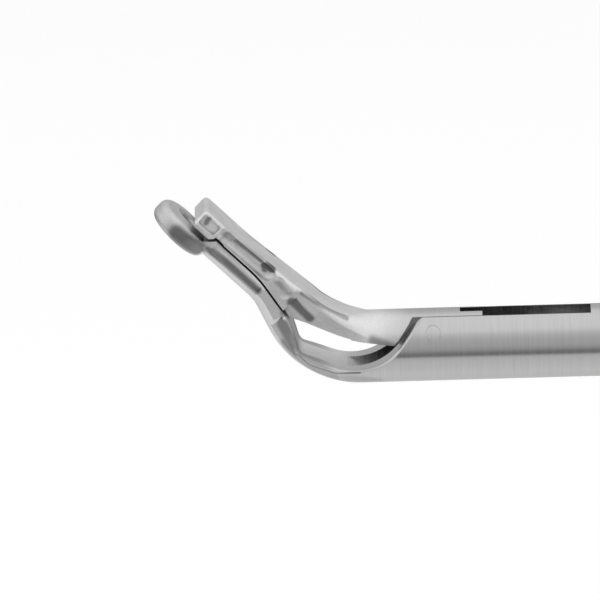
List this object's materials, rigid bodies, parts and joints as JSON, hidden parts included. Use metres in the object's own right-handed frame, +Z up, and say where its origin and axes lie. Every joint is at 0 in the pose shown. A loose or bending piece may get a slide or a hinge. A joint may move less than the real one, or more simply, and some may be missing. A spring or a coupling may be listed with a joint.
{
  "type": "knot pusher",
  "caption": "Ring-handled knot pusher with a slim round shaft and a bent tip, whose hinged upper jaw closes on a suture eyelet at the end of the fixed lower jaw.",
  "frame": {"origin": "on the shaft's axis, under the front edge of its full round part, at the mount named shaft", "axes": "+X along the shaft from the tip to the handle, +Z up, the side the tip bends to; +Y to the left"},
  "size_m": [0.2765, 0.0134, 0.0911],
  "materials": {
    "satin_steel": "fine glass-bead satin",
    "brushed_shaft": "brushed round the shaft",
    "bright_steel": "ground and polished",
    "guide_plastic": "turned white plastic",
    "seal_rubber": "smooth black rubber"
  },
  "bodies": {
    "frame": {"shaft_tip": "satin_steel", "jaw_pin": "satin_steel", "shaft_tube": "brushed_shaft", "rod_guides": "guide_plastic", "shaft_collar": "satin_steel", "rod_seal": "seal_rubber", "gland_screw": "satin_steel", "fixed_handle": "satin_steel", "pivot_washers": "guide_plastic", "handle_screw": "bright_steel", "handle_nut": "bright_steel", "flush_port": "satin_steel", "shaft_lock_screw": "satin_steel"},
    "rod": {"draw_rod": "bright_steel", "rod_end": "satin_steel", "drive_pin": "bright_steel", "rod_ball": "bright_steel", "rod_lock_nut": "satin_steel"},
    "jaw": {"upper_jaw": "satin_steel"},
    "thumb_handle": {"moving_handle": "satin_steel"}
  },
  "joints": [
    {"name": "handle_open", "type": "hinge", "parent": "frame", "child": "thumb_handle", "pos_m": [0.225, 0, -0.0056], "axis": [0, -1, 0], "range_deg": [0, 16]},
    {"name": "rod_slide", "type": "slide", "parent": "frame", "child": "rod", "axis": [-1, 0, 0], "range_m": [0, 0.00154]},
    {"name": "jaw_open", "type": "hinge", "parent": "frame", "child": "jaw", "pos_m": [0.0009, 0, 0.0014], "axis": [0, 1, 0], "range_deg": [0, 12]}
  ],
  "couplings": [
    {"joint": "rod_slide", "follows": "handle_open", "m_per_rad": 0.0055275},
    {"joint": "jaw_open", "follows": "handle_open", "ratio": 0.75}
  ]
}
